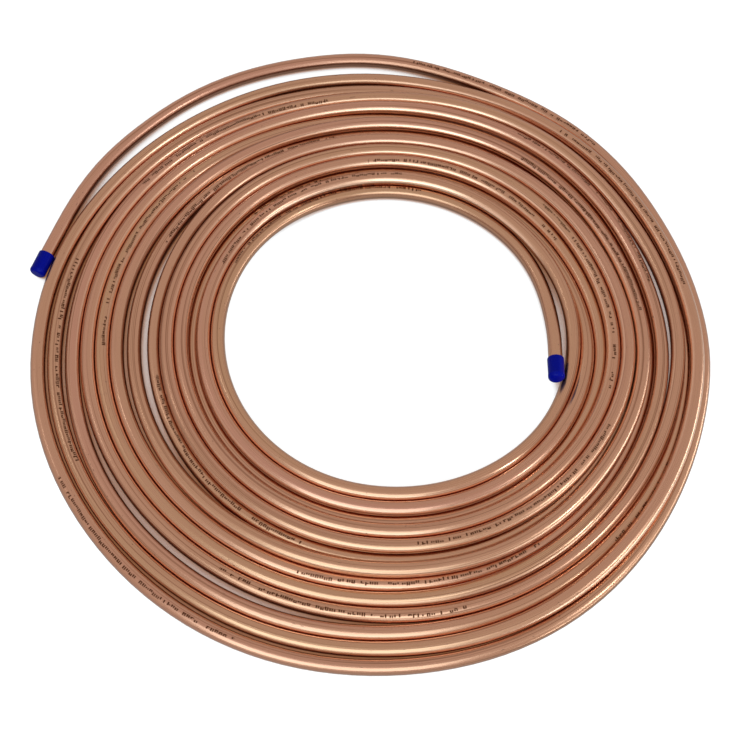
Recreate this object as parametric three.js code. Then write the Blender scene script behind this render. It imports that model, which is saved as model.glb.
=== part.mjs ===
// A pancake coil of seamless copper tube, wound outwards from its bore in thirteen and a half turns,
// with a soft vinyl cap pushed over each end. Millimetres, +Z up, the coil lies flat.
import * as THREE from 'three';

// ---- Tube: 3/8 inch drawn copper, sold as a 15 m coil ----
const TUBE_OD = 9.52;
const TUBE_WALL = 0.79;
const OUTER_SIDES = 10;              // flats round the outside of the tube
const BORE_SIDES = 6;                // flats round its bore
const STEPS_PER_TURN = 26;           // straight lengths that make one turn

// ---- Winding: angles count on from turn to turn, in degrees, from the inner end outwards ----
const TURN = 360;
const START_ANGLE = -3.4;            // where the inner end's straight tail meets the first turn
const SWEEP = 13.466 * TURN;         // from there to the outer end's tail
const END_ANGLE = START_ANGLE + SWEEP;
const INNER_TAIL = 27;               // straight lengths that the winder leaves at the two ends
const OUTER_TAIL = 41;
const FIRST_RADIUS = 115.0;          // centre line of the tube where the winding starts
const SIDE_CLEARANCE = 0.48;         // between one turn and the next, where they lie side by side
const END_RAMP = 36;                 // angle over which the tube rises to its capped ends

// The inner end has sprung out of its circle, and up beside the next turn: how far it has sprung where
// its tail begins, as shares of the pitch, and the angle over which it bends away.
const SPRING_OUT = 0.11;
const SPRING_UP = 0.34;
const SPRING_ARC = 20;

// The first turn opens from FIRST_RADIUS to the second turn in three easy spreads:
// share of the opening, and where in the turn it begins and ends.
const FIRST_TURN_SPREADS = [
  { share: 0.18, from: 0.00, to: 0.14 },
  { share: 0.45, from: 0.36, to: 0.74 },
  { share: 0.37, from: 0.72, to: 1.00 },
];

// Where a stretch of the tube rides up on the turns beside it: the angles half way up and half way
// down, the angle that each climb takes, and the rise as a share of the pitch.
const LIFTS = [
  { from: 135, to: 325, ramp: 70, rise: 0.65 },
  { from: 360, to: 705, ramp: 70, rise: 0.65 },
  { from: 1130, to: 1945, ramp: 100, rise: 0.65 },
  { from: 1745, to: 1855, ramp: 60, rise: 0.20 },
  { from: 2400, to: 2650, ramp: 100, rise: 0.65 },
  { from: 2485, to: 2555, ramp: 70, rise: 0.20 },
  { from: 3170, to: 3350, ramp: 70, rise: 0.60 },
  { from: 3570, to: 3695, ramp: 110, rise: 0.80 },
  { from: 4265, to: 4370, ramp: 90, rise: 0.80 },
];

// Where a turn has sprung away from the one inside it: the middle angle, the reach each way, and the
// width as a share of the pitch.
const GAPS = [
  { at: 360, reach: 55, width: 0.45 },
  { at: 1965, reach: 75, width: 0.20 },
  { at: 2345, reach: 75, width: 0.40 },
  { at: 2705, reach: 60, width: 0.20 },
  { at: 3610, reach: 30, width: 0.20 },
  { at: 3835, reach: 60, width: 0.35 },
  { at: 4145, reach: 45, width: 0.20 },
  { at: 4425, reach: 35, width: 0.20 },
  { at: 4505, reach: 45, width: 0.15 },
  { at: 4570, reach: 60, width: 0.15 },
  { at: 4710, reach: 50, width: 0.15 },
  { at: 4785, reach: 45, width: 1.05 },
  { at: 4820, reach: 35, width: 0.80 },
];

// ---- End caps: soft vinyl, dip moulded, pushed over the tube ----
const CAP_WALL = 0.8;
const CAP_CLEARANCE = 0.3;           // between the cap and the tube, round it and at its end
const CAP_GRIP = 16;                 // length of tube inside the cap
const CAP_TAPER = 0.25;              // the closed end is narrower than the mouth by this radius
const CAP_SIDES = 20;
const CAP_ROUND_STEPS = 3;           // steps round the closed end's edge
const CAP_ROUND = 2.0;               // radius of that edge, outside

// ---- Worked out from the above ----
const RADIANS = Math.PI / 180;
const tubeRadius = TUBE_OD / 2;
const boreRadius = tubeRadius - TUBE_WALL;
const flatToCentre = tubeRadius * Math.cos(Math.PI / OUTER_SIDES);
const capInnerRadius = tubeRadius + CAP_CLEARANCE;
const capOuterRadius = capInnerRadius + CAP_WALL;
const restHeight = flatToCentre;
const endRise = Math.max(0, capOuterRadius - restHeight);
const pitch = TUBE_OD + SIDE_CLEARANCE;
const stepAngle = TURN / STEPS_PER_TURN;
const TANGENT_STEP = 0.5;            // degrees between the two points that give the winding's direction

// 0 up to 1, level at both ends in slope and in curvature.
function ease(value) {
  const t = Math.min(1, Math.max(0, value));
  return t * t * t * (t * (6 * t - 15) + 10);
}

// How far the tube's centre line is above a turn that lies on the floor.
function riseAt(angle) {
  let rise = 0;
  for (const { from, to, ramp, rise: share } of LIFTS) {
    rise += share * pitch * ease((angle - from) / ramp + 0.5) * ease((to - angle) / ramp + 0.5);
  }
  // Each end is lifted, so that its cap clears the floor.
  const toEnd = Math.min(angle - START_ANGLE, END_ANGLE - angle);
  return rise + endRise * ease(1 - toEnd / END_RAMP);
}

// Radial distance from the turn inside: two tubes that touch, one higher than the other, and any gap.
function spacingAt(angle) {
  const climb = riseAt(angle) - riseAt(angle - TURN);
  let spacing = Math.sqrt(pitch * pitch - climb * climb);
  for (const { at, reach, width } of GAPS) spacing += width * pitch * ease(1 - Math.abs(angle - at) / reach);
  return spacing;
}

// Each turn lies against the turn inside it, so its radius is that turn's radius plus the spacing.
function woundRadiusAt(angle) {
  const firstTurnEnd = START_ANGLE + TURN;
  if (angle >= firstTurnEnd) return woundRadiusAt(angle - TURN) + spacingAt(angle);
  const along = (angle - START_ANGLE) / TURN;
  let opened = 0;
  for (const spread of FIRST_TURN_SPREADS) {
    opened += spread.share * ease((along - spread.from) / (spread.to - spread.from));
  }
  return FIRST_RADIUS + spacingAt(firstTurnEnd) * opened;
}

// The share of the inner end's spring: 1 where its tail begins, and none past the arc that it bends in.
function sprungAt(angle) {
  return Math.max(0, 1 - (angle - START_ANGLE) / SPRING_ARC) ** 2;
}

function centreAt(angle) {
  const sprung = sprungAt(angle);
  const radius = woundRadiusAt(angle) + SPRING_OUT * pitch * sprung;
  const height = restHeight + riseAt(angle) + SPRING_UP * pitch * sprung;
  const turned = angle * RADIANS;
  return new THREE.Vector3(radius * Math.cos(turned), radius * Math.sin(turned), height);
}

// The tip of a straight tail: it leaves the winding at the given angle, along the winding's own line.
function tailTip(angle, sense, length) {
  const root = centreAt(angle);
  const nearby = centreAt(angle - sense * TANGENT_STEP);
  const outwards = new THREE.Vector3().subVectors(root, nearby).normalize();
  return root.addScaledVector(outwards, length);
}

// The tube's centre line: a straight tail, the winding cut at equal angles so that the corners of
// neighbouring turns line up, and the other tail.
class Winding extends THREE.Curve {
  constructor() {
    super();
    this.points = [tailTip(START_ANGLE, -1, INNER_TAIL)];
    for (let angle = START_ANGLE; angle < END_ANGLE - stepAngle / 2; angle += stepAngle) {
      this.points.push(centreAt(angle));
    }
    this.points.push(centreAt(END_ANGLE), tailTip(END_ANGLE, 1, OUTER_TAIL));
  }

  getPoint(t, target = new THREE.Vector3()) {
    return target.copy(centreAt(START_ANGLE + t * SWEEP));
  }

  getSpacedPoints() {
    return this.points.map((point) => point.clone());
  }

  // Level frames: the section's first axis points up and its second axis outwards, square to the tube.
  computeFrenetFrames() {
    const last = this.points.length - 1;
    const up = new THREE.Vector3(0, 0, 1);
    const tangents = this.points.map((point, index) => {
      const before = this.points[Math.max(0, index - 1)];
      const after = this.points[Math.min(last, index + 1)];
      return new THREE.Vector3().subVectors(after, before).normalize();
    });
    const binormals = tangents.map((tangent) => new THREE.Vector3().crossVectors(tangent, up).normalize());
    const normals = tangents.map((tangent, index) => new THREE.Vector3().crossVectors(binormals[index], tangent));
    return { tangents, normals, binormals };
  }
}

// A regular polygon with a flat below and a flat above when its first axis points up.
function polygonPoints(radius, sides) {
  return Array.from({ length: sides }, (_, index) => {
    const turned = (index + 0.5) * 2 * Math.PI / sides;
    return new THREE.Vector2(radius * Math.cos(turned), radius * Math.sin(turned));
  });
}

function makeTube(winding) {
  const section = new THREE.Shape(polygonPoints(tubeRadius, OUTER_SIDES));
  section.holes.push(new THREE.Path(polygonPoints(boreRadius, BORE_SIDES)));
  const geometry = new THREE.ExtrudeGeometry(section, {
    steps: winding.points.length - 1,
    extrudePath: winding,
    bevelEnabled: false,
  });
  const copper = new THREE.MeshStandardMaterial({ color: 0xb87a5c, roughness: 0.32, metalness: 1 });
  const tube = new THREE.Mesh(geometry, copper);
  tube.name = 'copper_tube';
  return tube;
}

// A cup about +Y: its mouth at the bottom, its closed end rounded off.
function makeCap(name) {
  const length = CAP_GRIP + CAP_CLEARANCE + CAP_WALL;
  const tip = capOuterRadius - CAP_TAPER;
  const profile = [
    new THREE.Vector2(0, length - CAP_WALL),
    new THREE.Vector2(capInnerRadius, length - CAP_WALL),
    new THREE.Vector2(capInnerRadius, 0),
    new THREE.Vector2(capOuterRadius, 0),
  ];
  for (let step = 0; step <= CAP_ROUND_STEPS; step += 1) {
    const turned = (step / CAP_ROUND_STEPS) * Math.PI / 2;
    profile.push(new THREE.Vector2(
      tip - CAP_ROUND * (1 - Math.cos(turned)),
      length - CAP_ROUND * (1 - Math.sin(turned)),
    ));
  }
  profile.push(new THREE.Vector2(0, length));
  const vinyl = new THREE.MeshStandardMaterial({ color: 0x0a1c9c, roughness: 0.45, metalness: 0 });
  const cap = new THREE.Mesh(new THREE.LatheGeometry(profile, CAP_SIDES), vinyl);
  cap.name = name;
  return cap;
}

// Pushes a cap over the end of the tube, with its own sides in line with the tube's corners.
function seatCap(cap, end, neighbour) {
  const outwards = new THREE.Vector3().subVectors(end, neighbour).normalize();
  const level = new THREE.Vector3().crossVectors(outwards, new THREE.Vector3(0, 0, 1)).normalize();
  const upwards = new THREE.Vector3().crossVectors(level, outwards);
  cap.quaternion.setFromRotationMatrix(new THREE.Matrix4().makeBasis(level, outwards, upwards));
  cap.position.copy(end).addScaledVector(outwards, -CAP_GRIP);
  return cap;
}

const winding = new Winding();
const { points } = winding;
const coil = new THREE.Group();
coil.add(
  makeTube(winding),
  seatCap(makeCap('inner_end_cap'), points[0], points[1]),
  seatCap(makeCap('outer_end_cap'), points.at(-1), points.at(-2)),
);

// The origin is below the middle of the coil's own box, on the floor that it lies on.
coil.updateMatrixWorld(true);
const box = new THREE.Box3().setFromObject(coil, true);
coil.position.set(-(box.min.x + box.max.x) / 2, -(box.min.y + box.max.y) / 2, -box.min.z);
coil.updateMatrixWorld(true);

export default coil;
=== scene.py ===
# %% [markdown]
# # A pancake coil of copper tube
#
# Soft copper tube for refrigeration is sold wound flat, like a liquorice wheel: one length of tube, each
# turn lying against the one inside it, with a soft vinyl cap over each end to keep dirt out. The whole
# look of it comes from one long, regular shape and from what copper does with light, so this lesson
# spends its effort there: a winding worked out as whole arrays, and a metal finish with drawing marks.

import bmesh
import bpy
import numpy as np
from mathutils import Matrix, Vector


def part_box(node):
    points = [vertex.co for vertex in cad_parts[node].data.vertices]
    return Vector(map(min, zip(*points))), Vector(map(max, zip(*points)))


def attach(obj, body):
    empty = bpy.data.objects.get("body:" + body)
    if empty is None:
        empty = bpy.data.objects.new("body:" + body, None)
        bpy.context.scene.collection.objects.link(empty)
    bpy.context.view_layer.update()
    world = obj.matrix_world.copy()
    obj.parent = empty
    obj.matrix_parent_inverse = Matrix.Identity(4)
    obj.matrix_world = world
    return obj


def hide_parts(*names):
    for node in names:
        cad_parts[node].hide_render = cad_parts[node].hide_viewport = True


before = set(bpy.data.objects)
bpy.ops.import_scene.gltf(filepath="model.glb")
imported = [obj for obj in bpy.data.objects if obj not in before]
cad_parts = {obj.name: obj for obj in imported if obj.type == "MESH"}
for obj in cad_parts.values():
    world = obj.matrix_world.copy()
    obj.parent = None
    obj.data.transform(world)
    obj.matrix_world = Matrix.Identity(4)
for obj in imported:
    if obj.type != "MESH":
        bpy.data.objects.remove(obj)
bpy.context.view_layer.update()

# %% [markdown]
# ## The sizes that drive the winding
#
# The winding is described the way a coil winder would tell it: how thick the tube is, where the first
# turn starts, and then only what is special, namely the stretches that ride up on their neighbours and
# the places where a turn has sprung away from the one inside it. The free inner end has sprung as well,
# a little out and up. Angles run on from turn to turn, so 360 is one full turn out and 720 is two.
# Everything is in millimetres until the last step, because that is how tube is sold, and the meshes are
# then written in metres.

# %% Driving sizes, in millimetres and degrees
TURN = 360.0
TUBE_OD = 9.52
TUBE_WALL = 0.79
START_ANGLE = -3.4                 # where the inner tail meets the first turn
SWEEP = 13.466 * TURN              # from there to the outer tail
END_ANGLE = START_ANGLE + SWEEP
INNER_TAIL = 27.0                  # length of the straight end inside the coil
OUTER_TAIL = 41.0
FIRST_RADIUS = 115.0               # centre line of the tube where the winding starts
SIDE_CLEARANCE = 0.48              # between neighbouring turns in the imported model
END_RAMP = 36.0                    # angle over which the tube rises to a capped end
SPRING_OUT = 0.11                  # the inner end's spring, in pitches
SPRING_UP = 0.34                   # in pitches
SPRING_ARC = 20.0                  # angle that it bends in

FIRST_TURN_SPREADS = [(0.18, 0.00, 0.14), (0.45, 0.36, 0.74), (0.37, 0.72, 1.00)]     # share, from, to
LIFTS = [                                                        # from, to, ramp, rise in pitches
    (135, 325, 70, 0.65), (360, 705, 70, 0.65), (1130, 1945, 100, 0.65), (1745, 1855, 60, 0.20),
    (2400, 2650, 100, 0.65), (2485, 2555, 70, 0.20), (3170, 3350, 70, 0.60), (3570, 3695, 110, 0.80),
    (4265, 4370, 90, 0.80),
]
GAPS = [                                                         # at, reach, width in pitches
    (360, 55, 0.45), (1965, 75, 0.20), (2345, 75, 0.40), (2705, 60, 0.20), (3610, 30, 0.20),
    (3835, 60, 0.35), (4145, 45, 0.20), (4425, 35, 0.20), (4505, 45, 0.15), (4570, 60, 0.15),
    (4710, 50, 0.15), (4785, 45, 1.05), (4820, 35, 0.80),
]

CAP_WALL = 0.8
CAP_CLEARANCE = 0.3                # between the cap and the tube, round it and at its end
CAP_GRIP = 16.0                    # length of tube inside the cap
CAP_TAPER = 0.25                   # how much less the outside radius is at the closed end
CAP_ROUND = 2.0                    # radius of the closed end's edge

MILLIMETRE = 0.001
pitch = TUBE_OD + SIDE_CLEARANCE
tube_radius = pitch / 2            # the clearance is shared out, so that neighbouring turns touch
bore_radius = tube_radius - TUBE_WALL
cap_inner_radius = TUBE_OD / 2 + CAP_CLEARANCE
cap_outer_radius = cap_inner_radius + CAP_WALL
rest_height = tube_radius
end_rise = cap_outer_radius - rest_height
cap_length = CAP_GRIP + CAP_CLEARANCE + CAP_WALL
print("from one turn to the next in mm:", pitch, "turns:", round(SWEEP / TURN, 2))

# %% [markdown]
# ## The winding's centre line
#
# A spiral formula would give turns that are all alike. Real turns lean on each other, so the radius is
# built up instead: each turn's radius is the radius of the turn inside it, plus the distance between two
# tubes that touch. Where one of them rides higher, that distance is shorter, as the side of a right-angled
# triangle whose long side is the pitch and whose other side is the climb. That one rule gives the narrow
# glimpses of the low turns between the high ones, all the way round.

# %% Where the tube's centre line runs
def ease(value):
    """0 up to 1 as 6t^5 - 15t^4 + 10t^3, with t held between 0 and 1: level in slope at both ends."""
    t = np.clip(value, 0.0, 1.0)
    return t * t * t * (t * (6 * t - 15) + 10)


def rise_at(angle):
    """Height above a turn that lies on the floor: each lift is an ease up times an ease down."""
    rise = np.zeros_like(angle)
    for start, stop, climb_angle, share in LIFTS:
        going_up = ease((angle - start) / climb_angle + 0.5)
        rise += share * pitch * going_up * ease((stop - angle) / climb_angle + 0.5)
    to_end = np.minimum(angle - START_ANGLE, END_ANGLE - angle)
    return rise + end_rise * ease(1 - to_end / END_RAMP)


def spacing_at(angle):
    """Radial distance from the turn inside: the square root of pitch^2 - climb^2, plus any gap."""
    climb = rise_at(angle) - rise_at(angle - TURN)
    spacing = np.sqrt(pitch**2 - climb**2)
    for at, reach, width in GAPS:
        spacing += width * pitch * ease(1 - np.abs(angle - at) / reach)
    return spacing


def wound_radius_at(angle):
    """The first turn's radius, plus the spacings of all the turns between it and this one."""
    turns_out = np.floor((angle - START_ANGLE) / TURN)
    in_first_turn = angle - turns_out * TURN
    along = (in_first_turn - START_ANGLE) / TURN
    first_spacing = spacing_at(np.array([START_ANGLE + TURN]))[0]
    radius = FIRST_RADIUS + first_spacing * sum(
        share * ease((along - start) / (stop - start)) for share, start, stop in FIRST_TURN_SPREADS
    )
    for turn in range(1, int(turns_out.max()) + 1):
        radius += np.where(turns_out >= turn, spacing_at(in_first_turn + turn * TURN), 0.0)
    return radius


def centre_at(angle):
    """Points of the centre line: radius times cosine, radius times sine, and height.

    The inner end has sprung out and up by shares of the pitch, less the further along its arc:
    share * (1 - along)^2.
    """
    sprung = pitch * np.clip(1 - (angle - START_ANGLE) / SPRING_ARC, 0, None) ** 2
    radius = wound_radius_at(angle) + SPRING_OUT * sprung
    height = rest_height + rise_at(angle) + SPRING_UP * sprung
    turned = np.radians(angle)
    return np.column_stack([radius * np.cos(turned), radius * np.sin(turned), height])


first_and_last = wound_radius_at(np.array([START_ANGLE, END_ANGLE]))
print("radius of the first and last turn's centre line in mm:", first_and_last.round(1))

# %% [markdown]
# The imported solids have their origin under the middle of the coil's box, and the winding has its origin
# at its own centre. The two are lined up with the inner cap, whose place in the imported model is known:
# the same cap is worked out here from the winding, and the difference is the shift.

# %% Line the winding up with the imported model
TANGENT_STEP = 0.5                 # degrees between the two points that give a tail's direction


def tail_at(angle, sense, length):
    """A straight tail's root, the unit vector along which it leaves the winding there, and its tip."""
    root, nearby = centre_at(np.array([angle, angle - sense * TANGENT_STEP]))
    outwards = (root - nearby) / np.linalg.norm(root - nearby)
    return root, outwards, root + outwards * length


inner_root, inner_direction, inner_tip = tail_at(START_ANGLE, -1, INNER_TAIL)
outer_root, outer_direction, outer_tip = tail_at(END_ANGLE, 1, OUTER_TAIL)
cap_middle = inner_tip + inner_direction * (cap_length / 2 - CAP_GRIP)
low, high = (np.array(corner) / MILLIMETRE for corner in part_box("inner_end_cap"))
shift = ((low + high) / 2 - cap_middle) * [1, 1, 0]
print("winding's centre in the frame, in mm:", shift.round(2))

# %% [markdown]
# ## The tube
#
# The tube is a ring carried along the centre line. Its frame stays level: one axis points up and the
# other points away from the coil's middle, so the rings never twist and neighbouring turns have their
# points side by side. The bore is the same sweep with a smaller ring. If the rings of the outside run
# from tip to tip and the rings of the bore run back again, the wall of the tube is one grid that closes
# on itself both ways, like a very long doughnut, and every face points out of the copper.

# %% Sweep a ring along the centre line
RINGS_PER_TURN = 140
TAIL_RINGS = 6
RING_POINTS = 24                   # round the tube
ring_angles = np.linspace(0.0, 2 * np.pi, RING_POINTS, endpoint=False)        # from the top, outwards


def tube_centre_line():
    """Tail, winding and tail in one array, with the two shared points kept once, and their angles. A
    tail has the angle of its root."""
    wound = np.linspace(START_ANGLE, END_ANGLE, int(RINGS_PER_TURN * SWEEP / TURN) + 1)
    fractions = np.linspace(1.0, 0.0, TAIL_RINGS, endpoint=False)[:, None]
    inner = inner_root + (inner_tip - inner_root) * fractions
    outer = outer_root + (outer_tip - outer_root) * fractions[::-1]
    angle = np.concatenate([np.full(TAIL_RINGS, START_ANGLE), wound, np.full(TAIL_RINGS, END_ANGLE)])
    return np.vstack([inner, centre_at(wound), outer]) + shift, angle


def level_frames(points):
    """Unit vectors outwards (along x up) and upwards (outwards x along) at each point."""
    along = np.gradient(points, axis=0)
    along /= np.linalg.norm(along, axis=1, keepdims=True)
    outwards = np.cross(along, [0.0, 0.0, 1.0])
    outwards /= np.linalg.norm(outwards, axis=1, keepdims=True)
    return outwards, np.cross(outwards, along)


def sweep_ring(points, radius):
    """Ring points: centre + radius * (cosine * up + sine * outwards), for equal angles round the tube."""
    outwards, upwards = level_frames(points)
    turned = ring_angles[None, :, None]
    offset = np.cos(turned) * upwards[:, None, :] + np.sin(turned) * outwards[:, None, :]
    return points[:, None, :] + radius * offset


tube_points, tube_angles = tube_centre_line()
print("rings from tip to tip:", len(tube_points))

# %% Turn points and faces into a mesh
def closed_quads(rows, columns):
    """Faces of a grid that closes on itself both ways."""
    row, column = np.meshgrid(np.arange(rows), np.arange(columns), indexing="ij")
    next_row, next_column = (row + 1) % rows, (column + 1) % columns
    corners = [row * columns + column, row * columns + next_column,
               next_row * columns + next_column, next_row * columns + column]
    return np.stack(corners, axis=-1).reshape(-1, 4)


def build_mesh(name, grid, quads):
    """A smooth mesh object at the origin, from points in millimetres and an array of faces."""
    mesh = bpy.data.meshes.new(name)
    mesh.from_pydata((grid.reshape(-1, 3) * MILLIMETRE).tolist(), [], quads.tolist())
    mesh.shade_smooth()
    piece = bpy.data.objects.new(name, mesh)
    bpy.context.scene.collection.objects.link(piece)
    return piece


def write_attribute(piece, name, kind, values):
    """A number (FLOAT) or three numbers (FLOAT_VECTOR) for each point, which a material can read."""
    layer = piece.data.attributes.new(name, kind, "POINT")
    layer.data.foreach_set("value" if kind == "FLOAT" else "vector", values.reshape(-1).astype(np.float32))


# %% [markdown]
# ## What the finish will read
#
# A pattern that follows the tube has to know where on the tube it is, so each point keeps a few numbers.
# First comes its place on the tube as it was before it was wound: so far along, and so far up and out
# from the centre. With it, marks run along the tube and meet all round. Then come two numbers about the
# next turn in or out: how far down the valley between them the point lies, and how near the line where
# they touch. The copper's colour uses them for a painted reflection on the valley flanks and a painted
# shade along the contact.

# %% Places before winding, and how the next turns lie
VALLEY_EDGE = 0.55                 # sine of the slope at which a flank starts to face the next turn
VALLEY_REACH = 2.5                 # a gap this wide, in mm, and the two turns no longer count as near
CONTACT_EDGE = 0.90                # cosine at which the painted shade beside a contact begins


def straight_places(along, radius):
    """Places on the tube before winding: distance along, radius * cosine and radius * sine."""
    shape = (len(along), RING_POINTS)
    return np.stack([np.broadcast_to(along[:, None], shape),
                     np.broadcast_to(radius * np.cos(ring_angles), shape),
                     np.broadcast_to(radius * np.sin(ring_angles), shape)], axis=-1)


def turn_beside(angle, sense):
    """Two columns about the next turn out (sense 1) or in (sense -1). The first says how near it is: 1
    where it touches, falling to 0 over VALLEY_REACH. The second is the sine of the slope up to it."""
    beside = angle + sense * TURN
    wound = (beside >= START_ANGLE) & (beside <= END_ANGLE)
    away = centre_at(np.where(wound, beside, START_ANGLE)) - centre_at(angle)
    distance = np.maximum(np.linalg.norm(away, axis=1), tube_radius)
    near = wound * ease(1 - (distance - pitch) / VALLEY_REACH)
    return near[:, None], (away[:, 2] / distance)[:, None]


# These two numbers place the copper's painted reflection in the valleys and its painted shade at the
# contacts.
def valley_and_contact(angle):
    """Two numbers for each ring point. Valley: how far round to the side it is, on a flank that faces a
    near turn. Contact: how near the line where the two turns touch, from the cosine of the angle between
    the point's direction and the direction to the next turn."""
    up, side = np.cos(ring_angles), np.abs(np.sin(ring_angles))
    faces_out = np.sin(ring_angles) > 0
    (near_out, slope_out), (near_in, slope_in) = turn_beside(angle, 1), turn_beside(angle, -1)
    near = np.where(faces_out, near_out, near_in)
    slope = np.where(faces_out, slope_out, slope_in)
    facing = up * slope + side * np.sqrt(1 - slope**2)
    valley = near * ease((side - VALLEY_EDGE) / (1 - VALLEY_EDGE))
    return valley, near * ease((facing - CONTACT_EDGE) / (1 - CONTACT_EDGE))


valley, contact = valley_and_contact(tube_angles)
print("points in a valley:", int((valley > 0).sum()), "and at a contact:", int((contact > 0).sum()))

# %% Make the tube
def make_tube():
    """The outside's rings from tip to tip, and the bore's rings back again."""
    steps = np.linalg.norm(np.diff(tube_points, axis=0), axis=1)
    along = np.concatenate([[0.0], np.cumsum(steps)])
    grid = np.vstack([sweep_ring(tube_points, tube_radius), sweep_ring(tube_points, bore_radius)[::-1]])
    places = np.vstack([straight_places(along, tube_radius), straight_places(along, bore_radius)[::-1]])
    piece = build_mesh("tube_winding", grid, closed_quads(len(grid), RING_POINTS))
    in_bore = np.zeros_like(valley)
    write_attribute(piece, "straight_place", "FLOAT_VECTOR", places * MILLIMETRE)
    write_attribute(piece, "valley", "FLOAT", np.vstack([valley, in_bore]))
    write_attribute(piece, "contact", "FLOAT", np.vstack([contact, in_bore]))
    return piece, along[-1]


tube, tube_length = make_tube()
print("tube length in mm:", round(float(tube_length)), "faces:", len(tube.data.polygons))

# %% [markdown]
# ## The caps
#
# Each cap is a soft vinyl cup made by dipping a pin: its mouth has a thin rolled lip, its wall swells a
# little where the tube's cut end presses it, and the closed end is rounded and slightly pinched, because
# nothing fills it. A turned profile gives the cup, and two small changes to its radius give the swell and
# the pinch. The profile runs from the middle of the cup's floor, up the inside, over the lip, down the
# outside and to the middle of the closed end, so the cup is one closed wall.

# %% Turn the cap's profile
CAP_POINTS = 48                    # round the cap
LIP_STEPS = 6
EDGE_STEPS = 10
WALL_STEPS = 14
INNER_CORNER = 0.6                 # the bevel round the cup's floor, inside
CROWN = (0.12, 0.16)               # how far the closed end stands out, half way in and at its middle
SWELL = 0.16                       # bulge over the tube's cut end
SWELL_BACK = 1.0                   # how far its middle lies from the cut end, towards the mouth
SWELL_REACH = 1.6
PINCH = 0.35                       # how far the closed end is drawn in
PINCH_START = 2.5                  # where that begins, back from the cut end
PINCH_REACH = 3.5


def cap_profile():
    """Radius and height of the cup's wall: inside, half-round lip, outside wall, round edge, closed end."""
    lip_turn = np.linspace(0.0, np.pi, LIP_STEPS)
    lip_middle = (cap_inner_radius + cap_outer_radius) / 2
    lip = np.column_stack([lip_middle - CAP_WALL / 2 * np.cos(lip_turn),
                           CAP_WALL / 2 - CAP_WALL / 2 * np.sin(lip_turn)])
    heights = np.linspace(CAP_WALL, cap_length - CAP_ROUND, WALL_STEPS)
    taper = CAP_TAPER * heights / cap_length
    wall = np.column_stack([cap_outer_radius - taper, heights])
    edge_turn = np.linspace(0.0, np.pi / 2, EDGE_STEPS)
    edge = np.column_stack([cap_outer_radius - CAP_TAPER - CAP_ROUND * (1 - np.cos(edge_turn)),
                            cap_length - CAP_ROUND * (1 - np.sin(edge_turn))])
    floor = cap_length - CAP_WALL
    inside = np.array([[0.0, floor], [cap_inner_radius - INNER_CORNER, floor],
                       [cap_inner_radius, floor - INNER_CORNER]])
    end = np.array([[edge[-1, 0] * 0.5, cap_length + CROWN[0]], [0.0, cap_length + CROWN[1]]])
    return np.vstack([inside, lip, wall, edge, end])


def turn_profile(profile, phase):
    """Each profile point carried round the axis. Outside, the radius gains a swell near the tube's cut
    end: swell * e^-(distance / reach)^2. Every radius loses a pinch that comes twice in a turn towards
    the closed end: pinch * closeness * cos(around + phase)^2 * radius / outer radius."""
    around = np.linspace(0.0, 2 * np.pi, CAP_POINTS, endpoint=False)[None, :]
    radius, height = profile[:, :1], profile[:, 1:]
    outside = radius > cap_inner_radius + CAP_WALL / 4
    swell = SWELL * np.exp(-((height - CAP_GRIP + SWELL_BACK) / SWELL_REACH) ** 2) * outside
    closeness = ease((height - CAP_GRIP + PINCH_START) / PINCH_REACH)
    pinched = radius + swell - PINCH * closeness * np.cos(around + phase) ** 2 * (radius / cap_outer_radius)
    return np.stack([pinched * np.cos(around), pinched * np.sin(around),
                     np.broadcast_to(height, pinched.shape)], axis=-1)


print("points of the cap's profile:", len(cap_profile()))

# %% Make the caps
INNER_CAP_PHASE, OUTER_CAP_PHASE = 0.6, 2.1        # radians; which way round each cap is pinched
SAME_POINT = 1e-7                  # metres; points this close are one


def fan_quads(rows, columns):
    """Faces between neighbouring rows of a turned grid, closed round the columns."""
    quads = closed_quads(rows, columns)
    return quads[: (rows - 1) * columns]


def axes_along(direction):
    """Three unit columns: level and square to the direction, square to both, and the direction."""
    level = np.cross([0.0, 0.0, 1.0], direction)
    level /= np.linalg.norm(level)
    return np.column_stack([level, np.cross(direction, level), direction])


def weld_poles(piece):
    """The profile starts and ends on the axis, where a whole row of points is one point."""
    mesh = bmesh.new()
    mesh.from_mesh(piece.data)
    bmesh.ops.remove_doubles(mesh, verts=mesh.verts, dist=SAME_POINT)
    bmesh.ops.recalc_face_normals(mesh, faces=mesh.faces)
    mesh.to_mesh(piece.data)
    mesh.free()


def make_cap(name, tip, direction, phase):
    """A turned cup, set so that its mouth is the grip's length back from the tube's tip."""
    grid = turn_profile(cap_profile(), phase)
    mouth = tip + shift - direction * CAP_GRIP
    placed = grid @ axes_along(direction).T + mouth
    piece = build_mesh(name, placed, fan_quads(len(grid), CAP_POINTS))
    weld_poles(piece)
    return piece


inner_cap = make_cap("cap_inner", inner_tip, inner_direction, INNER_CAP_PHASE)
outer_cap = make_cap("cap_outer", outer_tip, outer_direction, OUTER_CAP_PHASE)
print("cap faces:", len(inner_cap.data.polygons), len(outer_cap.data.polygons))

# %% [markdown]
# ## Hand the pieces to the imported model
#
# Each piece hides the imported node that it stands for and rides on the one body. The finish beside
# each is only printed here; the materials are given further down.

# %% Say what each piece stands for
for piece, node, finish in (
    (tube, "copper_tube", "copper"),
    (inner_cap, "inner_end_cap", "vinyl"),
    (outer_cap, "outer_end_cap", "vinyl"),
):
    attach(piece, "root")
    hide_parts(node)
    print(piece.name, "stands for", node, "with the finish", finish)

# %% [markdown]
# ## Shader helpers
#
# The finishes are built from a few node groups with named inputs, so that each effect is made once. A
# small helper adds a node, sets its plain values and joins its inputs, which keeps the recipes short.

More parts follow.
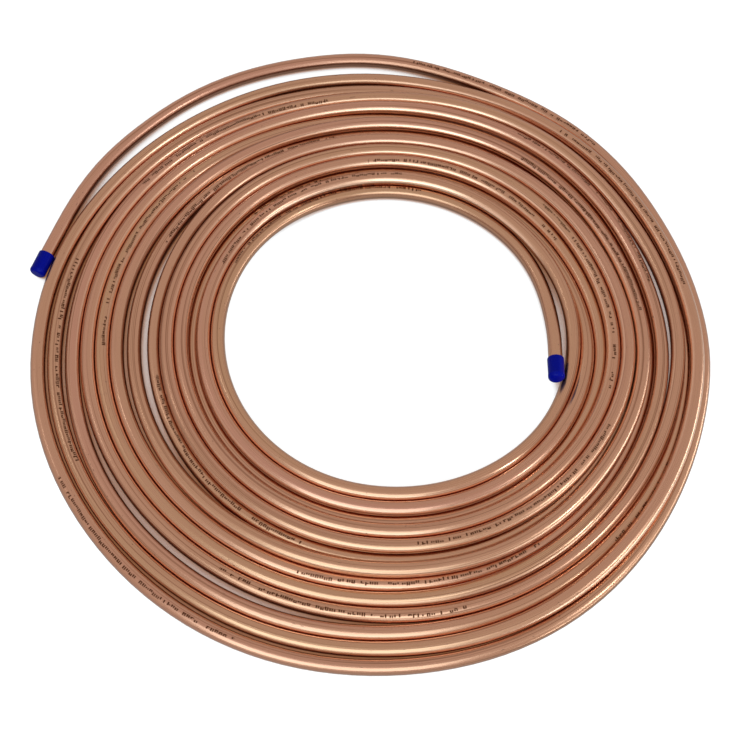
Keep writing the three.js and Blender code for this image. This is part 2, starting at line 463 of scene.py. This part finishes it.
# %% Small helpers for node trees
def add_node(tree, kind, values=None, **settings):
    """Adds a node, sets its settings, and gives each named input a value or a link from a socket."""
    node = tree.nodes.new(kind)
    for name, setting in settings.items():
        setattr(node, name, setting)
    for name, value in (values or {}).items():
        if isinstance(value, bpy.types.NodeSocket):
            tree.links.new(value, node.inputs[name])
        else:
            node.inputs[name].default_value = value
    return node


def math(tree, operation, first, second=0.0, clamp=False):
    """One Math node's result."""
    node = add_node(tree, "ShaderNodeMath", {0: first, 1: second}, operation=operation, use_clamp=clamp)
    return node.outputs[0]


def ramp(tree, value, low, high, to_low=0.0, to_high=1.0):
    """A Map Range node: value from low to high gives to_low to to_high, held at both ends."""
    return add_node(tree, "ShaderNodeMapRange", {
        "Value": value, "From Min": low, "From Max": high, "To Min": to_low, "To Max": to_high,
    }).outputs["Result"]


def mix_colours(tree, amount, first, second):
    """A Mix node for colours: the first at 0, the second at 1."""
    node = add_node(tree, "ShaderNodeMix", {0: amount, 6: first, 7: second}, data_type="RGBA")
    return node.outputs[2]


def new_group(name, inputs, outputs):
    """An empty node group. Inputs are given as name: (kind, value) and outputs as name: kind."""
    group = bpy.data.node_groups.new(name, "ShaderNodeTree")
    for socket, (kind, value) in inputs.items():
        made = group.interface.new_socket(socket, in_out="INPUT", socket_type=kind)
        if value is not None:
            made.default_value = value
    for socket, kind in outputs.items():
        group.interface.new_socket(socket, in_out="OUTPUT", socket_type=kind)
    return group, group.nodes.new("NodeGroupInput"), group.nodes.new("NodeGroupOutput")


FLOAT, VECTOR = "NodeSocketFloat", "NodeSocketVector"

# %% [markdown]
# ## Drawing lines
#
# Copper tube is pulled through a die, which leaves faint lines along its whole length: some are hair
# thin, and some are soft bands where the die had worn. Both are the same noise, squeezed across the tube
# and stretched along it, so one group makes them, with the width and the length of a line as its inputs.

# %% Group: streaks along the tube
STREAK_ROUGHNESS = 0.55            # how much of the noise is its finer detail
NOISE_RANGE = (0.3, 0.7)           # nearly all of a noise's values lie in here


def make_streaks():
    """Noise of the place before winding, divided by a line's length along and its width across."""
    group, entry, leave = new_group("streaks_along_tube", {
        "Place": (VECTOR, None), "Length": (FLOAT, 0.06), "Width": (FLOAT, 0.0004), "Detail": (FLOAT, 2.0),
    }, {"Value": FLOAT})
    parts = add_node(group, "ShaderNodeSeparateXYZ", {0: entry.outputs["Place"]})
    along = math(group, "DIVIDE", parts.outputs[0], entry.outputs["Length"])
    up = math(group, "DIVIDE", parts.outputs[1], entry.outputs["Width"])
    out = math(group, "DIVIDE", parts.outputs[2], entry.outputs["Width"])
    scaled = add_node(group, "ShaderNodeCombineXYZ", {0: along, 1: up, 2: out})
    noise = add_node(group, "ShaderNodeTexNoise", {
        "Vector": scaled.outputs[0], "Scale": 1.0, "Detail": entry.outputs["Detail"],
        "Roughness": STREAK_ROUGHNESS,
    })
    group.links.new(noise.outputs[0], leave.inputs["Value"])
    return group


def add_streaks(tree, place, length, width, detail):
    """One use of the streaks group, with the length and width of a streak in metres."""
    node = add_node(tree, "ShaderNodeGroup", node_tree=streaks)
    tree.links.new(place, node.inputs["Place"])
    for name, value in (("Length", length), ("Width", width), ("Detail", detail)):
        node.inputs[name].default_value = value
    return node.outputs["Value"]


streaks = make_streaks()
print("group:", streaks.name, "nodes:", len(streaks.nodes))

# %% [markdown]
# ## Marks printed on the tube
#
# Tube of this kind is printed along its length by a small wheel, so the same row of marks comes round
# again at an even distance. Here the row is plain ticks that stand for nothing: short strokes across the
# tube, one or two to a cell, tall and short by chance, some with a bar along the tube between them, and
# with a blank cell now and then. The place before winding gives the distance along, and its remainder
# after each turn of the wheel says where in the row a point is.

# %% Group: a row of ticks
INK_PERIOD = 0.792                 # metres round the printing wheel
INK_START = 0.200                  # from the inner tip to the first row
INK_ROW = 0.162                    # length of a row
INK_CELL = 0.0029                  # length of a cell
INK_HEIGHT = (0.0010, 0.0022)      # shortest and tallest stroke, across the tube
INK_SHIFT = 0.0005                 # how far a stroke may sit above or below its row
INK_DRIFT = 0.0022                 # how far the row wanders to either side of the top
INK_WANDERS = 2.2                  # wanders in each metre
FIRST_STROKE = (0.20, 0.12)        # its middle and half its width, in cells
SECOND_STROKE = (0.68, 0.10)
BAR = (0.44, 0.26)
STROKE_FADE = 1.9                  # half widths from a stroke's middle to where it has faded
STROKE_ENDS = (0.42, 0.62)         # shares of its height from its row, where it fades and has faded
BAR_SHIFT = 0.0009                 # how far a bar may sit above or below its row
BAR_WIDTH = (0.0002, 0.0004)       # from its middle to where it fades, and to where it has faded
NO_SECOND, NO_BAR, NO_CELL = 0.3, 0.62, 0.13       # the share of cells that go without


def make_tick_row():
    """The larger of the strokes and the bars, where a point is inside a row, in a cell that isn't blank,
    and on the upper half of the tube."""
    group, entry, leave = new_group("tick_row", {"Place": (VECTOR, None)}, {"Amount": FLOAT})
    parts = add_node(group, "ShaderNodeSeparateXYZ", {0: entry.outputs["Place"]})
    along = math(group, "SUBTRACT", parts.outputs[0], INK_START)
    in_period = math(group, "FLOORED_MODULO", along, INK_PERIOD)
    in_row = math(group, "LESS_THAN", in_period, INK_ROW)
    cells = math(group, "DIVIDE", along, INK_CELL)
    cell = math(group, "FLOOR", cells)
    in_cell = math(group, "FRACT", cells)

    def chance(seed):
        """An even random number for each cell. Each seed gives another run of them."""
        shifted = math(group, "ADD", cell, seed)
        return add_node(group, "ShaderNodeTexWhiteNoise", {"W": shifted}, noise_dimensions="1D").outputs[0]

    def stroke(middle, half_width):
        """1 near that part of the cell, falling to 0 at its sides."""
        away = math(group, "ABSOLUTE", math(group, "SUBTRACT", in_cell, middle))
        return ramp(group, away, half_width, half_width * STROKE_FADE, 1.0, 0.0)

    has_second = math(group, "GREATER_THAN", chance(11.5), NO_SECOND)
    second = math(group, "MULTIPLY", stroke(*SECOND_STROKE), has_second)
    bar = math(group, "MULTIPLY", stroke(*BAR), math(group, "GREATER_THAN", chance(23.5), NO_BAR))
    strokes = math(group, "MAXIMUM", stroke(*FIRST_STROKE), second)

    wanders = math(group, "MULTIPLY", along, INK_WANDERS)
    noise = add_node(group, "ShaderNodeTexNoise", {"W": wanders, "Scale": 1.0}, noise_dimensions="1D")
    wander = ramp(group, noise.outputs[0], *NOISE_RANGE, -INK_DRIFT, INK_DRIFT)
    sideways = math(group, "SUBTRACT", parts.outputs[2], wander)
    height = ramp(group, chance(3.5), 0.0, 1.0, *INK_HEIGHT)
    shifted = math(group, "ADD", sideways, ramp(group, chance(59.5), 0.0, 1.0, -INK_SHIFT, INK_SHIFT))
    from_middle = math(group, "DIVIDE", math(group, "ABSOLUTE", shifted), height)
    tall = ramp(group, from_middle, *STROKE_ENDS, 1.0, 0.0)
    bar_shift = ramp(group, chance(31.5), 0.0, 1.0, -BAR_SHIFT, BAR_SHIFT)
    bar_place = math(group, "ABSOLUTE", math(group, "ADD", sideways, bar_shift))
    bar = math(group, "MULTIPLY", bar, ramp(group, bar_place, *BAR_WIDTH, 1.0, 0.0))
    marks = math(group, "MAXIMUM", math(group, "MULTIPLY", strokes, tall), bar)

    shown = math(group, "MULTIPLY", in_row, math(group, "GREATER_THAN", chance(47.5), NO_CELL))
    on_top = math(group, "GREATER_THAN", parts.outputs[1], 0.0)
    amount = math(group, "MULTIPLY", math(group, "MULTIPLY", marks, shown), on_top)
    group.links.new(amount, leave.inputs["Amount"])
    return group


tick_row = make_tick_row()
print("group:", tick_row.name, "nodes:", len(tick_row.nodes))

# %% [markdown]
# ## Copper
#
# Soft drawn copper is a satin metal: smooth enough for a bright band along each turn, and dull enough
# that the band has soft sides. The flanks down in the valleys are painted lighter and more orange than the
# tops, a painted reflection of the light that bounces there from turn to turn and takes up more red each
# time, so a valley glows before it ends in a painted shade, a dark red line where the turns touch. A faint
# skin of oxide makes the tops pinker in one turn and more golden in the next. Handling leaves short dark
# scratches and small specks. The printed ink is a thin film, so it shines like the metal under it, only a
# little duller.
#
# The streaks group gives a mask for each of the marks, and the mesh's valley and contact numbers give the
# masks for the painted reflection and the painted shade. The colour is then a list of layers: each mask
# lays its colour over what came before.

# %% Copper's colours
COPPER = (0.410, 0.207, 0.127, 1.0)                # the metal's own colour on the tops of the turns
COPPER_GOLDEN = (0.402, 0.217, 0.122, 1.0)
COPPER_PINK = (0.420, 0.200, 0.133, 1.0)
PAINTED_VALLEY_REFLECTION = (0.780, 0.475, 0.325, 1.0)                # painted reflection on the flanks that face the next turn
PAINTED_CONTACT_SHADE = (0.500, 0.120, 0.055, 1.0)               # painted shade beside the line where two turns touch
GROOVE = (0.20, 0.082, 0.044, 1.0)                 # in a drawing line
OXIDE = (0.085, 0.040, 0.028, 1.0)                 # in scratches and specks
INK = (0.060, 0.017, 0.006, 1.0)
print("copper on the tops of the turns:", COPPER[:3])

# %% The copper finish
STREAKS = {                        # a streak's length and width in metres, and its detail
    "hairs": (0.06, 0.00035, 3.0),                 # the hair-thin drawing lines
    "lines": (0.42, 0.0009, 1.0),                  # the deeper ones
    "bands": (0.50, 0.0035, 2.0),                  # where the die had worn
    "stretches": (0.80, 0.05, 1.0),                # from a golden turn to a pink one
    "patches": (0.11, 0.009, 2.0),                 # smoother and duller places
    "scratches": (0.006, 0.0007, 1.0),
    "specks": (0.0013, 0.0010, 0.0),
    "handled": (0.05, 0.006, 1.0),                 # the few places with scratches and specks
}
LAYERS = (                         # mask, where it begins and where it is full, its share there, colour
    ("bands", 0.35, 0.65, 0.70, COPPER),
    # the valley layer is a painted reflection, the contact layer a painted shade
    ("valley", 0.00, 0.70, 1.00, PAINTED_VALLEY_REFLECTION),
    ("contact", 0.00, 1.00, 1.00, PAINTED_CONTACT_SHADE),
    ("lines", 0.58, 0.68, 0.75, GROOVE),
    ("hairs", 0.58, 0.76, 0.45, GROOVE),
)
GOLDEN_TO_PINK = (0.38, 0.62)      # for this and the next three: where the mask begins and where it is full
SCRATCHED = (0.735, 0.765)
SPECKED = (0.80, 0.83)
HANDLED = (0.55, 0.60)
OXIDE_SHARE = 0.8                  # how much a scratch or a speck covers
INK_WORN = (0.25, 0.40, 0.70, 1.0) # over this range of the hairs, from this share of the ink to that one
ROUGHNESS = (0.19, 0.33)           # it follows the hairs
PATCH_ROUGHNESS = (-0.03, 0.05)    # added by the patches
INK_ROUGHNESS = 0.2                # added by the ink
LINE_RELIEF = 1.5                  # how strongly a line stands in the relief, where a hair has 1
BUMP_STRENGTH = 0.5
BUMP_DEPTH = 0.00005               # metres


def make_copper():
    """Metal whose colour is mixed in layers: the skin of oxide, the die's bands, the painted reflection on
    the valley flanks and the painted shade at the contacts, the drawing lines, the scratches, and the ink
    last.
    Roughness and height follow the same streaks."""
    material = bpy.data.materials.new("drawn_copper")
    material.use_nodes = True
    tree = material.node_tree
    metal = tree.nodes["Principled BSDF"]

    def kept(name, output):
        """What the mesh keeps under that name."""
        return add_node(tree, "ShaderNodeAttribute", attribute_name=name).outputs[output]

    place = kept("straight_place", "Vector")
    masks = {name: add_streaks(tree, place, *sizes) for name, sizes in STREAKS.items()}
    # masks for the painted reflection in the valleys and the painted shade at the contacts
    masks["valley"], masks["contact"] = kept("valley", "Fac"), kept("contact", "Fac")

    colour = mix_colours(tree, ramp(tree, masks["stretches"], *GOLDEN_TO_PINK), COPPER_GOLDEN, COPPER_PINK)
    for mask, begins, full, share, layer in LAYERS:
        colour = mix_colours(tree, ramp(tree, masks[mask], begins, full, 0.0, share), colour, layer)
    scratched, specked = ramp(tree, masks["scratches"], *SCRATCHED), ramp(tree, masks["specks"], *SPECKED)
    marked = math(tree, "MAXIMUM", scratched, specked)
    marked = math(tree, "MULTIPLY", marked, ramp(tree, masks["handled"], *HANDLED))
    colour = mix_colours(tree, math(tree, "MULTIPLY", marked, OXIDE_SHARE), colour, OXIDE)
    ticks = add_node(tree, "ShaderNodeGroup", node_tree=tick_row)
    tree.links.new(place, ticks.inputs["Place"])
    worn = ramp(tree, masks["hairs"], *INK_WORN)
    inked = math(tree, "MULTIPLY", ticks.outputs["Amount"], worn)
    colour = mix_colours(tree, inked, colour, INK)
    tree.links.new(colour, metal.inputs["Base Color"])

    metal.inputs["Metallic"].default_value = 1.0
    rough = ramp(tree, masks["hairs"], *NOISE_RANGE, *ROUGHNESS)
    rough = math(tree, "ADD", rough, ramp(tree, masks["patches"], *NOISE_RANGE, *PATCH_ROUGHNESS))
    rough = math(tree, "ADD", rough, math(tree, "MULTIPLY", inked, INK_ROUGHNESS))
    tree.links.new(rough, metal.inputs["Roughness"])
    height = math(tree, "ADD", masks["hairs"], math(tree, "MULTIPLY", masks["lines"], LINE_RELIEF))
    bump = add_node(tree, "ShaderNodeBump", {
        "Height": height, "Strength": BUMP_STRENGTH, "Distance": BUMP_DEPTH,
    })
    tree.links.new(bump.outputs[0], metal.inputs["Normal"])
    return material


copper = make_copper()
tube.data.materials.append(copper)
print("finish:", copper.name, "nodes:", len(copper.node_tree.nodes))

# %% [markdown]
# ## Vinyl
#
# The caps are coloured right through, so there is no paint edge anywhere. Dipping leaves a slow ripple,
# and a soft even gloss that handling scuffs a little.

# %% Vinyl's colour and ripple
VINYL = (0.0005, 0.0028, 0.190, 1.0)
VINYL_WORN = (0.004, 0.012, 0.30, 1.0)             # where handling has scuffed it
RIPPLES = 320.0                    # in a metre
SCUFFS = 1500.0                    # in a metre
SCUFFED = (0.55, 0.75, 0.0, 0.5)   # over this range of the noise, from no scuff to this share
VINYL_ROUGHNESS = (0.35, 0.70, 0.15, 0.30)         # over this range of it, from this roughness to that
VINYL_SPECULAR = 0.04
RIPPLE_STRENGTH = 0.35
RIPPLE_DEPTH = 0.0004              # metres


def make_vinyl():
    """A dark blue plastic with a slow ripple and a few scuffs, on the object's own coordinates."""
    material = bpy.data.materials.new("dipped_vinyl")
    material.use_nodes = True
    tree = material.node_tree
    plastic = tree.nodes["Principled BSDF"]
    place = add_node(tree, "ShaderNodeTexCoord").outputs["Object"]

    def noise(scale, detail):
        """A noise with that many features in a metre."""
        return add_node(tree, "ShaderNodeTexNoise", {
            "Vector": place, "Scale": scale, "Detail": detail,
        }).outputs[0]

    ripple, scuffs = noise(RIPPLES, 2.0), noise(SCUFFS, 4.0)
    worn = ramp(tree, scuffs, *SCUFFED)
    tree.links.new(mix_colours(tree, worn, VINYL, VINYL_WORN), plastic.inputs["Base Color"])
    tree.links.new(ramp(tree, scuffs, *VINYL_ROUGHNESS), plastic.inputs["Roughness"])
    bump = add_node(tree, "ShaderNodeBump", {
        "Height": ripple, "Strength": RIPPLE_STRENGTH, "Distance": RIPPLE_DEPTH,
    })
    tree.links.new(bump.outputs[0], plastic.inputs["Normal"])
    plastic.inputs["Specular IOR Level"].default_value = VINYL_SPECULAR
    return material


vinyl = make_vinyl()
for cap in (inner_cap, outer_cap):
    cap.data.materials.append(vinyl)
print("finish:", vinyl.name, "nodes:", len(vinyl.node_tree.nodes))

# %% [markdown]
# ## The floor
#
# A coil is shown on a white sweep. The floor is an ordinary pale surface, so it takes the coil's shadow,
# and for the camera and for reflections it also glows, which carries it up to plain white away from the
# shadow without putting more light on the copper. The glow is made to fade where the floor has little
# open sky over it, a painted shade: between two turns it is dim, and there both the glow and the paper's
# colour take a painted copper tint for light bounced off the turns. The metal close above the floor
# mirrors the dim strip right under itself, a painted shade in its reflections.

# %% Floor
FLOOR_HALF = 6.0                   # metres, half its side
FLOOR_DROP = 0.0002                # just under the coil, so that the two don't share a plane
SHADOW_REACH = 0.012               # how far up the floor looks for open sky
FLOOR_GLOW = 0.84                  # for the camera, under open sky
DIM_GLOW = 0.20                    # for the camera, between two turns: painted shade
MIRRORED_GLOW = 0.46               # for reflections, under open sky
# painted shade in the floor's reflection close under the coil
DIM_MIRRORED_GLOW = 0.05
SEEN_EDGES = (0.26, 0.52)          # openness from which the seen glow rises, and where it is whole
MIRRORED_EDGES = (0.35, 1.0)       # the same for the mirrored glow
CLEAR_EDGES = (0.16, 0.45)         # the same for the change from the painted copper bounce to white
PAPER_ROUGHNESS = 0.9
WHITE = (1.0, 1.0, 1.0, 1.0)
# painted bounce light off the copper, in the glow between turns
PAINTED_COPPER_BOUNCE = (1.0, 0.40, 0.17, 1.0)
PAPER = (0.42, 0.41, 0.40, 1.0)
PAINTED_BOUNCE_BETWEEN_TURNS = (0.42, 0.17, 0.07, 1.0)      # painted bounce light off the copper


def background_rays(tree):
    """Two numbers: 1 for camera rays, and 1 for glossy and transmission rays, which mirror or pass."""
    path = add_node(tree, "ShaderNodeLightPath")
    mirrored = math(tree, "MAXIMUM", path.outputs["Is Glossy Ray"], path.outputs["Is Transmission Ray"])
    return path.outputs["Is Camera Ray"], mirrored


def make_floor():
    """A large square just under the coil. Its glow, its tint and its colour are ramps of how open the sky
    is: the share of directions within reach that meet nothing. The dim glow and the copper tint where the
    sky is closed are painted shade and painted bounce light."""
    corners = np.array([[-1, -1], [1, -1], [1, 1], [-1, 1]]) * FLOOR_HALF / MILLIMETRE
    points = np.column_stack([corners, np.full(4, -FLOOR_DROP / MILLIMETRE)])
    floor = build_mesh("floor", points, np.array([[0, 1, 2, 3]]))
    material = bpy.data.materials.new("white_sweep")
    material.use_nodes = True
    tree = material.node_tree
    paper = tree.nodes["Principled BSDF"]
    paper.inputs["Roughness"].default_value = PAPER_ROUGHNESS
    paper.inputs["Specular IOR Level"].default_value = 0.0
    openness = add_node(tree, "ShaderNodeAmbientOcclusion", {"Distance": SHADOW_REACH}).outputs["AO"]
    camera, mirrored = background_rays(tree)
    seen_glow = math(tree, "MULTIPLY", camera, ramp(tree, openness, *SEEN_EDGES, DIM_GLOW, FLOOR_GLOW))
    mirrored_glow = ramp(tree, openness, *MIRRORED_EDGES, DIM_MIRRORED_GLOW, MIRRORED_GLOW)
    mirrored_glow = math(tree, "MULTIPLY", mirrored, mirrored_glow)
    clear = ramp(tree, openness, *CLEAR_EDGES)
    tree.links.new(mix_colours(tree, clear, PAINTED_BOUNCE_BETWEEN_TURNS, PAPER), paper.inputs["Base Color"])
    tree.links.new(mix_colours(tree, clear, PAINTED_COPPER_BOUNCE, WHITE), paper.inputs["Emission Color"])
    tree.links.new(math(tree, "MAXIMUM", seen_glow, mirrored_glow), paper.inputs["Emission Strength"])
    floor.data.materials.append(material)
    return floor


floor = make_floor()
print("floor's side in metres:", 2 * FLOOR_HALF)

# %% [markdown]
# ## Light
#
# A big even sky lights everything a little. On top of it come a broad window low behind the viewer,
# which draws the bright line along the front and the back of every turn, and two small lamps, one on
# each side, which leave the short glints that line up across the turns. A long strip lies almost level
# with the coil on the right. The next turn out hides it from most flanks, so it draws a line only where
# a turn rides higher than the one outside it, and along the outer rim.

# %% Sky and lamps
SKY = 0.53                         # the even light's strength; 1 would be white
WINDOW = {"direction": (-0.11, -0.78, 0.61), "size": (0.72, 0.62), "distance": 0.85, "power": 4.5,
          "colour": (0.68, 0.96, 1.10)}
RIGHT_LAMP = {"direction": (0.71, -0.30, 0.63), "size": (0.22, 0.22), "distance": 2.4, "power": 8.0,
              "colour": (0.80, 1.0, 1.1)}
LOW_STRIP = {"direction": (0.95, -0.28, 0.10), "size": (1.6, 0.15), "distance": 1.2, "power": 5.5,
             "colour": (0.80, 1.0, 1.1)}
LEFT_LAMP = {"direction": (-0.73, 0.11, 0.67), "size": (0.2, 0.2), "distance": 2.4, "power": 1.0,
             "colour": (0.80, 1.0, 1.1)}


def make_sky():
    """An even world for light, and plain white where it is seen or mirrored."""
    world = bpy.data.worlds.new("sky")
    world.use_nodes = True
    tree = world.node_tree
    tree.nodes.clear()
    shown = math(tree, "MAXIMUM", *background_rays(tree))
    strength = ramp(tree, shown, 0.0, 1.0, SKY, 1.0)
    background = add_node(tree, "ShaderNodeBackground", {"Color": (1.0, 1.0, 1.0, 1.0), "Strength": strength})
    leave = tree.nodes.new("ShaderNodeOutputWorld")
    tree.links.new(background.outputs[0], leave.inputs["Surface"])
    bpy.context.scene.world = world


def make_lamp(name, lamp, target):
    """A rectangular area light, that far from the target in that direction, facing it."""
    light = bpy.data.lights.new(name, "AREA")
    light.shape = "RECTANGLE"
    light.size, light.size_y = lamp["size"]
    light.energy = lamp["power"]
    light.color = lamp["colour"]
    holder = bpy.data.objects.new(name, light)
    away = Vector(lamp["direction"]).normalized()
    holder.location = target + away * lamp["distance"]
    holder.rotation_euler = away.to_track_quat("Z", "Y").to_euler()
    bpy.context.scene.collection.objects.link(holder)
    return holder


coil_middle = Vector((shift * MILLIMETRE).tolist())
make_sky()
for name, lamp in {"window": WINDOW, "right_lamp": RIGHT_LAMP, "low_strip": LOW_STRIP,
                   "left_lamp": LEFT_LAMP}.items():
    make_lamp(name, lamp, coil_middle)
    print(name, "power:", lamp["power"], "distance in metres:", lamp["distance"])

# %% [markdown]
# ## Camera
#
# The camera looks down at the coil from the front. Its place is worked out from where the winding's
# centre falls in the square picture, how far off it is and how steeply the camera looks down. A slight
# roll is a turn about the camera's own line of sight.

# %% Camera
PICTURE = 736.0                    # pixels, each side of the picture
FOCAL_PIXELS = 1150.0              # the focal length in the same pixels
LOOK_DOWN = np.radians(64.1)
ROLL = np.radians(3.5)
CAMERA_DEPTH = 0.8154              # metres to the winding's centre, along the line of sight
CENTRE_PIXEL = (389.3, 333.6)      # where that centre falls, from the left and from the top
SENSOR = 36.0                      # millimetres
NEAREST = 0.05                     # metres; anything nearer isn't drawn


def make_camera():
    """Right, up and forward of an unrolled camera, then the roll, then the place that puts the winding's
    centre at its pixel: centre - forward * depth - right * x - up * y."""
    forward = np.array([0.0, np.cos(LOOK_DOWN), -np.sin(LOOK_DOWN)])
    right = np.array([1.0, 0.0, 0.0])
    up = np.cross(right, forward)
    rolled_right = np.cos(ROLL) * right + np.sin(ROLL) * up
    rolled_up = np.cos(ROLL) * up - np.sin(ROLL) * right
    across = (CENTRE_PIXEL[0] - PICTURE / 2) / FOCAL_PIXELS * CAMERA_DEPTH
    above = (PICTURE / 2 - CENTRE_PIXEL[1]) / FOCAL_PIXELS * CAMERA_DEPTH
    place = np.array(coil_middle) - forward * CAMERA_DEPTH - rolled_right * across - rolled_up * above
    data = bpy.data.cameras.new("camera")
    data.sensor_width = SENSOR
    data.lens = FOCAL_PIXELS / PICTURE * SENSOR
    data.clip_start = NEAREST
    camera = bpy.data.objects.new("camera", data)
    columns = np.column_stack([rolled_right, rolled_up, -forward, place])
    camera.matrix_world = Matrix([*columns.tolist(), [0.0, 0.0, 0.0, 1.0]])
    bpy.context.scene.collection.objects.link(camera)
    bpy.context.scene.camera = camera


make_camera()
bpy.context.scene.view_settings.view_transform = "Standard"
place = bpy.context.scene.camera.matrix_world.translation
print("camera's place in metres:", [round(value, 3) for value in place])
